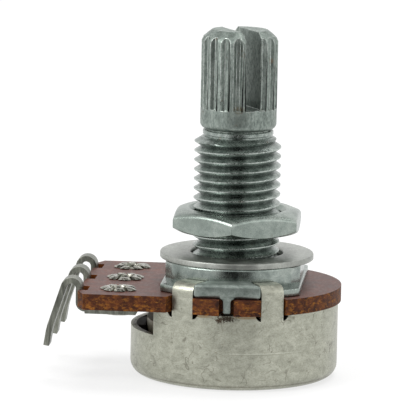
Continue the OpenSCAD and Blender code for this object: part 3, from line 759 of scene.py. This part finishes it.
def splinedShaft(s):
    bm = bmesh.new()
    head, journal, groove = s.headRadius, s.journal, s.grooveRadius
    lathe(bm, [(0, s.shoulder), (journal, s.shoulder), (journal, s.grooveLow), (groove, s.grooveLow),
            (groove, s.grooveHigh), (journal, s.grooveHigh), (journal, s.headLow),
            *arcPoints(head - s.headRound, s.headLow + s.headRound, s.headRound, -90, 0, 6),
            *[(head - s.tip * inwards, s.top - s.tipHeight * down) for inwards, down in s.tipRound],
            (0, s.top)], steps=180, closed=False)
    piece = toPiece(bm, "splinedShaft")
    carve(piece, splineCutter(s))
    carve(piece, slotCutter(s))
    # tail with two flats that drive the rotor, and its staked end
    tail, tailTop = bmesh.new(), s.shoulder + 0.1
    lathe(tail, [(0, s.tailLow), (s.tail, s.tailLow), (s.tail, tailTop), (0, tailTop)], closed=False)
    for side in (-1, 1):
        trim(tail, (0, side * s.tailFlat, 0), (0, side, 0))
    carve(piece, toPiece(tail, "tail"), "UNION")
    stake, stakeTop = bmesh.new(), s.tailLow + 0.001
    lathe(stake, [(0, s.stakeLow), (s.stake - 0.2, s.stakeLow), (s.stake, stakeTop), (0, stakeTop)],
          closed=False)
    carve(piece, toPiece(stake, "stake"), "UNION")
    mergeNear(piece, s.sliver)
    # the rounded edges take slot 1, the lighter copy: a painted highlight
    softenEdges(piece, s.softness, 36, slot=1, clamp=False)
    dress(piece, "spindle", [zincShaft, zincShaftHighlight], ["shaft"])


splinedShaft(named(spindle))
print("shaft done")

# Can
canSheet = {
    "radius": 8.18, "height": 6.0, "sheet": 0.48, "corner": 1.0, "windowHalf": 44, "windowLow": 3.85,
    "notchLow": 5.55, "tabHalf": 6.5, "notchSteps": 3, "notchRise": 0.33,
    "bend": 0.75, "foldTop": 8.3, "foldEnd": 6.3, "stopHalf": 12, "stopEnd": 7.0, "stopStep": 0.45,
    "softness": 0.07,
}


def turnOf(point):
    return math.degrees(math.atan2(point.y, point.x))


def rimEdges(bm, centre, half, height):
    # free edges at one height, within half a width in degrees of a direction
    found = []
    for e in bm.edges:
        if e.is_boundary and all(abs(v.co.z - height) < 0.01 for v in e.verts):
            away = (turnOf((e.verts[0].co + e.verts[1].co) / 2) - centre + 180) % 360 - 180
            if abs(away) < half:
                found.append(e)
    return found


def pull(bm, edges, step):
    # draws free edges out and hands back the new free ones
    grown = bmesh.ops.extrude_edge_only(bm, edges=edges)["geom"]
    bmesh.ops.translate(bm, vec=step, verts=vertsOf(grown))
    return [e for e in edgesOf(grown) if abs(e.verts[0].co.z - e.verts[1].co.z) < 1e-4 and e.is_boundary]


def cutCan(bm, s):
    # the window, and a cut beside each tab that rises away from it as a round punch leaves it
    gone = []
    for face in bm.faces:
        middle = face.calc_center_median()
        turn = turnOf(middle)
        if middle.z > s.windowLow and abs(abs(turn) - 180) < s.windowHalf:
            gone.append(face)
        elif middle.z > s.notchLow:
            for tab in tabTurns:
                if s.tabHalf < abs(turn - tab) < s.tabHalf + s.notchSteps:
                    gone.append(face)
    bmesh.ops.delete(bm, geom=gone, context="FACES")
    for v in bm.verts:
        if abs(v.co.z - s.notchLow) < 0.001:
            away = min(abs(turnOf(v.co) - tab) for tab in tabTurns) - s.tabHalf
            if 0 < away < s.notchSteps + 0.1:
                v.co.z += s.notchRise * (away / s.notchSteps) ** 2


def foldTab(bm, s, tab):
    # up past the wafer, round the bend and inwards over the plate
    inward = -Vector((math.cos(math.radians(tab)), math.sin(math.radians(tab)), 0))
    edges = rimEdges(bm, tab, s.tabHalf, s.height)
    straight = s.foldTop - s.bend - s.height
    for _ in range(2):
        edges = pull(bm, edges, (0, 0, straight / 2))
    for i in range(8):
        a, b = math.radians(11.25 * i), math.radians(11.25 * (i + 1))
        step = inward * s.bend * (math.cos(a) - math.cos(b))
        step.z = s.bend * (math.sin(b) - math.sin(a))
        edges = pull(bm, edges, step)
    flat = s.radius - s.bend - s.foldEnd
    for _ in range(2):
        edges = pull(bm, edges, inward * flat / 2)


def drawnCan(s):
    # one skin of the sheet, one degree to a face, thickened at the end
    bm = bmesh.new()
    r, corner, wall = s.radius, s.corner, s.radius - s.sheet
    profile = [(0, 0), (2.0, 0), (4.5, 0), (r - corner - 0.3, 0)]
    profile += arcPoints(r - corner, corner, corner, -90, 0, 8)
    profile += [(r, z) for z in (2.0, 2.9, s.windowLow, 4.7, s.notchLow, s.height)]
    lathe(bm, profile, steps=360, closed=False)
    cutCan(bm, s)
    for tab in tabTurns:
        foldTab(bm, s, tab)
    # stop tongue, turned in from the lower edge of the window
    edges = rimEdges(bm, 180, s.stopHalf, s.windowLow)
    for reach in (s.stopStep, r - s.stopEnd - s.stopStep):
        edges = pull(bm, edges, (reach, 0, 0))
    piece = toPiece(bm, "drawnCan")
    thicken(piece, s.sheet, -1)
    softenEdges(piece, s.softness, 45)
    dress(piece, "housing", [tinCan, canInsideShade], ["can"])

    # faces inside the can take the painted shade
    def insideOrOut(x, y, z, normal):
        return int(s.sheet - 0.1 < z < s.height - 0.05 and math.hypot(x, y) < wall + 0.18)

    paint(piece, insideOrOut)


drawnCan(named(canSheet))
print("can drawn and crimped")

# Wafer
waferPlate = {
    "low": 6.0, "thick": 1.25, "radius": 8.4, "reach": 11.75, "half": 7.6, "cut": (0.55, 1.2),
    "hole": 2.3, "rivetHole": 0.84, "rivetAt": -8.69, "notch": 1.8, "notchDepth": 0.7,
    "tabHalf": 1.025, "tabFrom": 7.65, "toothHalf": 0.58, "toothFrom": 7.35, "past": 12, "softness": 0.035,
}


def waferBoard(s):
    low, high = s.low, s.low + s.thick
    under, over, past = low - 1, high + 1, s.past     # how far the cutters run on
    disc = bmesh.new()
    plug(disc, 0, 0, s.radius, low, high, 180)
    tongue = bmesh.new()
    block(tongue, (-s.reach, -s.half, low), (0, s.half, high))
    across = Vector((-s.cut[1], s.cut[0], 0)).normalized()
    for side in (-1, 1):
        trim(tongue, (-s.reach, side * (s.half - s.cut[1]), 0), (across.x, side * across.y, 0))
    piece = toPiece(disc, "waferBoard")
    carve(piece, toPiece(tongue, "tongue"), "UNION")
    cuts = bmesh.new()
    plug(cuts, 0, 0, s.hole, under, over, 64)
    notch = s.notch / 2
    for row in rows:
        plug(cuts, s.rivetAt, row, s.rivetHole, under, over)
        block(cuts, (-s.reach - 1, row - notch, under), (-s.reach + s.notchDepth, row + notch, over))
    for tab in tabTurns:
        made = block(cuts, (s.tabFrom, -s.tabHalf, under), (past, s.tabHalf, over))
        turnRound(cuts, math.radians(tab), made)
    for near, far in ((-past, -s.toothFrom), (s.toothFrom, past)):
        block(cuts, (-s.toothHalf, near, under), (s.toothHalf, far, over))
    carve(piece, toPiece(cuts, "waferCuts"))
    dress(piece, "housing", [laminateFace, laminateCut, laminateNotchLit], ["wafer"])

    def faceOrCut(x, y, z, normal):
        if abs(normal.z) > 0.7:
            return 0
        # notch faces take the lighter copy, painted light
        inNotch = 0.05 < x + s.reach < s.notchDepth + 0.1
        return 2 if inNotch and min(abs(y - row) for row in rows) < notch + 0.05 else 1

    paint(piece, faceOrCut)
    softenEdges(piece, s.softness, 40)


waferBoard(named(waferPlate))
print("wafer cut")

# Rivets
rivet = {
    "at": -8.69, "seat": 7.25, "tailTop": 5.52, "tailLow": 5.38,
    "bore": 0.6, "barrel": 0.82, "flange": 1.55, "tail": 1.25, "petals": 7, "rise": 0.27,
    "seed": 11, "shortest": 0.2, "lowest": 0.75, "width": (0.74, 0.9), "astray": 0.06,
    "narrowing": 0.13, "dip": 0.45,
}


def shapePetal(bm, s, middle, half):
    # each petal narrows and dips towards its two sides
    for v in bm.verts:
        turn = (math.atan2(v.co.y, v.co.x) - middle + math.pi) % fullTurn - math.pi
        r = math.hypot(v.co.x, v.co.y)
        if abs(turn) <= half + 0.001 and v.co.z > s.seat - 0.001 and r > s.barrel + 0.13:
            side = (abs(turn) / half) ** 2
            shrink = 1 - s.narrowing * side * (r - s.barrel) / (s.flange - s.barrel)
            v.co.x, v.co.y = v.co.x * shrink, v.co.y * shrink
            v.co.z -= (v.co.z - s.seat) * s.dip * side


def eyeletRivet(s, index, y):
    # set eyelet: the rim has split into petals that rolled over unevenly
    dice = random.Random(s.seed + index)
    bm = bmesh.new()
    bore, barrel, tail, seat = s.bore, s.barrel, s.tail, s.seat
    lathe(bm, [(bore, s.tailLow), (tail - 0.05, s.tailLow), (tail, s.tailLow + 0.05), (tail, s.tailTop),
            (barrel, s.tailTop), (barrel, seat), (barrel + 0.12, seat + 0.02),
            (barrel + 0.02, seat + 0.14), (bore + 0.05, seat + 0.1), (bore, seat - 0.06)], steps=48)
    share = fullTurn / s.petals
    for i in range(s.petals):
        reach = s.flange - dice.uniform(0.0, s.shortest)
        rise = s.rise * dice.uniform(s.lowest, 1.0)
        width = share * dice.uniform(*s.width)
        begin = share * i + dice.uniform(-s.astray, s.astray)
        section = [(bore + 0.03, 0.02), (bore + 0.1, rise * 0.75), (barrel + 0.1, rise),
                ((barrel + reach) / 2, rise * 0.95), (reach - 0.12, rise * 0.62), (reach, 0.08),
                (reach - 0.08, 0.0)]
        verts = [bm.verts.new((r, 0, seat + z)) for r, z in section]
        turnRound(bm, begin, verts)
        spinRound(bm, [bm.faces.new(verts)], width, 8)
        shapePetal(bm, s, begin + width / 2, width / 2)
    turnRound(bm, dice.uniform(0, 6.28))
    bmesh.ops.translate(bm, vec=(s.at, y, 0), verts=bm.verts)
    piece = toPiece(bm, "eyeletRivet_%d" % (index + 1))
    dress(piece, "housing", [brightTin], ["rivet_%d" % (index + 1)])


for number, row in enumerate(rows):
    eyeletRivet(named(rivet), number, row)
print("rivets set")

# Terminals
tag = {
    "low": 5.49, "thick": 0.46, "width": 1.45, "lugWidth": 3.0, "lugIn": -7.19,
    "lugOut": -11.2, "hole": 0.84, "holeAt": -8.69, "legX": -11.76, "bend": 0.5, "arch": 0.6,
    "archTop": 7.92, "leg": 3.6, "foot": 1.4, "lean": 18, "footLean": 9, "softness": 0.06,
}


def tagPath(s):
    # centre line of the strip: lug, up the notch, over the arch, down the leg
    middle = s.low + s.thick / 2
    path = [(s.lugIn, middle), (s.holeAt - 1.2, middle), (s.lugOut, middle)]
    path += arcPoints(s.legX + s.bend, middle + s.bend, s.bend, -90, -180, 6)
    path += arcPoints(s.legX - s.arch, s.archTop - s.arch, s.arch, 0, 180 - s.lean, 14)
    between = s.leg * 0.06 + s.foot * 0.15
    for length, lean in ((s.leg * 0.5, s.lean), (s.leg * 0.44, s.lean),
            (between, (s.lean + s.footLean) / 2), (s.foot * 0.85, s.footLean)):
        x, z = path[-1]
        path.append((x - length * math.sin(math.radians(lean)), z - length * math.cos(math.radians(lean))))
    return path


def level(e):
    return abs(e.verts[0].co.y - e.verts[1].co.y) < 1e-5


def solderTag(s, index, y):
    # the strip is drawn along its path, then its lug is widened beside the rivet
    path = tagPath(s)
    bm = bmesh.new()
    edge = bm.edges.new([bm.verts.new((path[0][0], side * s.width / 2, path[0][1])) for side in (-1, 1)])
    sides = []
    for number, (before, after) in enumerate(zip(path, path[1:])):
        grown = bmesh.ops.extrude_edge_only(bm, edges=[edge])["geom"]
        fresh = vertsOf(grown)
        bmesh.ops.translate(bm, vec=(after[0] - before[0], 0, after[1] - before[1]), verts=fresh)
        edge = [e for e in edgesOf(grown) if all(v in fresh for v in e.verts)][0]
        if number < 2:
            sides += [e for e in edgesOf(grown) if e != edge]
            sides += [e for v in fresh for e in v.link_edges if e.is_boundary and level(e)]
    for side in (-1, 1):
        edges = list({e for e in sides if e.is_valid and all(v.co.y * side > 0.1 for v in e.verts)
                and abs(e.verts[0].co.x - e.verts[1].co.x) > 0.1})
        grown = bmesh.ops.extrude_edge_only(bm, edges=edges)["geom"]
        bmesh.ops.translate(bm, vec=(0, side * (s.lugWidth - s.width) / 2, 0), verts=vertsOf(grown))
    bmesh.ops.translate(bm, vec=(0, y, 0), verts=bm.verts)
    piece = toPiece(bm, "solderTag_%d" % (index + 1))
    thicken(piece, s.thick, 0)
    hole = bmesh.new()
    plug(hole, s.holeAt, y, s.hole, s.low - 1, s.low + 1)
    carve(piece, toPiece(hole, "tagHole"))
    softenEdges(piece, s.softness, 40)
    dress(piece, "housing", [dullTin], ["terminal_%d" % (index + 1)])


for number, row in enumerate(rows):
    solderTag(named(tag), number, row)
print("solder tags bent")

# Inner pieces keep their CAD shapes
innerFinish = {
    "retaining_ring": springSteel, "thrust_washer": springSteel, "carbon_track": carbonInk,
    "track_pad_1": silverInk, "track_pad_3": silverInk, "collector_ring": silverInk,
    "rotor": mouldedAcetal, "wiper": springBronze,
}
for nodeName, material in innerFinish.items():
    nodes[nodeName].data.materials.clear()
    nodes[nodeName].data.materials.append(material)
print("inner pieces finished")

# Floor, lamps and flags, in metres
studio = {
    "ambient": 0.62, "floorSize": 2.0, "floorDrop": 0.00002, "floorGlow": 0.72, "aim": (0, 0, 0.012),
    "lamps": [  # place, energy, size
        ((-0.28, -0.20, 0.30), 0.9, 0.22),
        ((0.30, -0.16, 0.22), 0.08, 0.20),
        ((0.05, 0.15, 0.40), 1.2, 0.25),
    ],
    "flags": [  # centre, turn about X, width and length, grey
        ((0.012, -0.13, 0.035), 90, (0.12, 0.07), "#2b2a28"),
        ((0.004, -0.088, 0.0005), 0, (0.078, 0.08), "#2b2a28"),
        ((0.0, 0.08, 0.16), 0, (0.16, 0.20), "#4a4b4a"),
    ],
}


def whiteRays(tree):
    # 1 for the camera, reflections and glass, 0 for the light that falls on things
    rays = addNode(tree, "ShaderNodeLightPath").outputs
    seen = reckon(tree, "MAXIMUM", rays["Is Camera Ray"], rays["Is Glossy Ray"])
    return reckon(tree, "MAXIMUM", seen, rays["Is Transmission Ray"])


def card(name, size):
    # a flat square about the origin
    bm = bmesh.new()
    bmesh.ops.create_grid(bm, x_segments=1, y_segments=1, size=size / mm)
    return toPiece(bm, name)


def whiteSky(s):
    world = bpy.data.worlds.new("studio")
    world.use_nodes = True
    bpy.context.scene.world = world
    tree = world.node_tree
    tree.nodes.clear()
    strength = addNode(tree, "ShaderNodeMix", {0: whiteRays(tree), 2: s.ambient, 3: 1.0}, data_type="FLOAT")
    sky = addNode(tree, "ShaderNodeBackground", {"Color": (1, 1, 1, 1), "Strength": strength.outputs[0]})
    addNode(tree, "ShaderNodeOutputWorld", {"Surface": sky.outputs[0]})


def paperFloor(s):
    # white paper that glows where it is seen, so that it has no edge
    floor = card("floor", s.floorSize)
    floor.location.z = -s.floorDrop
    paper, tree, shader, _ = newMaterial("white paper sweep")
    shader.inputs["Base Color"].default_value = toLinear("#f4f4f4")
    shader.inputs["Roughness"].default_value = 0.9
    glow = addNode(tree, "ShaderNodeEmission", {"Color": (1, 1, 1, 1), "Strength": 1.0})
    share = reckon(tree, "MULTIPLY", whiteRays(tree), s.floorGlow)
    blend = addNode(tree, "ShaderNodeMixShader", {0: share, 1: shader.outputs[0], 2: glow.outputs[0]})
    end = next(n for n in tree.nodes if n.type == "OUTPUT_MATERIAL")
    tree.links.new(blend.outputs[0], end.inputs["Surface"])
    floor.data.materials.append(paper)


def softbox(place, energy, size, aim):
    lamp = bpy.data.lights.new("softbox", "AREA")
    lamp.energy = energy
    lamp.size = size
    holder = bpy.data.objects.new("softbox", lamp)
    bpy.context.scene.collection.objects.link(holder)
    holder.location = place
    holder.rotation_mode = "QUATERNION"
    holder.rotation_quaternion = (Vector(aim) - Vector(place)).to_track_quat("-Z", "Y")


def darkFlag(place, tilt, size, shade):
    # only reflections see it: it gives the metal its depth
    flag = card("flag", 0.5)
    flag.rotation_euler = (math.radians(tilt), 0, 0)
    flag.scale = (*size, 1)
    flag.location = place
    cloth, _, shader, _ = newMaterial("black flag cloth")
    shader.inputs["Base Color"].default_value = toLinear(shade)
    shader.inputs["Roughness"].default_value = 1.0
    flag.data.materials.append(cloth)
    for ray in ("camera", "diffuse", "shadow", "transmission", "volume_scatter"):
        setattr(flag, "visible_" + ray, False)


whiteSky(named(studio))
paperFloor(named(studio))
for place, energy, size in studio["lamps"]:
    softbox(place, energy, size, studio["aim"])
for place, tilt, size, shade in studio["flags"]:
    darkFlag(place, tilt, size, shade)

# Camera, fitted to the photograph: distance in metres, shift and aim in millimetres
shot = {
    "azimuth": 4.78, "elevation": 9.14, "roll": 1.1, "distance": 0.3, "lens": 328.76, "sensor": 36,
    "shift": (-2.178, 3.84), "aim": 9.25,
}


def photographer(s):
    az, el, roll = (math.radians(turn) for turn in (s.azimuth, s.elevation, s.roll))
    back = Vector((math.sin(az) * math.cos(el), -math.cos(az) * math.cos(el), math.sin(el)))
    right = Vector((math.cos(az), math.sin(az), 0))
    up = back.cross(right)
    across = right * math.cos(roll) + up * math.sin(roll)
    above = up * math.cos(roll) - right * math.sin(roll)
    camera = bpy.data.cameras.new("camera")
    camera.lens = s.lens
    camera.sensor_width = s.sensor
    camera.clip_start, camera.clip_end = 0.01, 10
    holder = bpy.data.objects.new("camera", camera)
    bpy.context.scene.collection.objects.link(holder)
    shift = (across * s.shift[0] + above * s.shift[1]) * mm
    place = Vector((0, 0, s.aim * mm)) + back * s.distance + shift
    turn = Matrix((across, above, back)).transposed().to_4x4()
    holder.matrix_world = Matrix.Translation(place) @ turn
    bpy.context.scene.camera = holder


photographer(named(shot))
bpy.context.scene.view_settings.view_transform = "Standard"

print("scene ready")
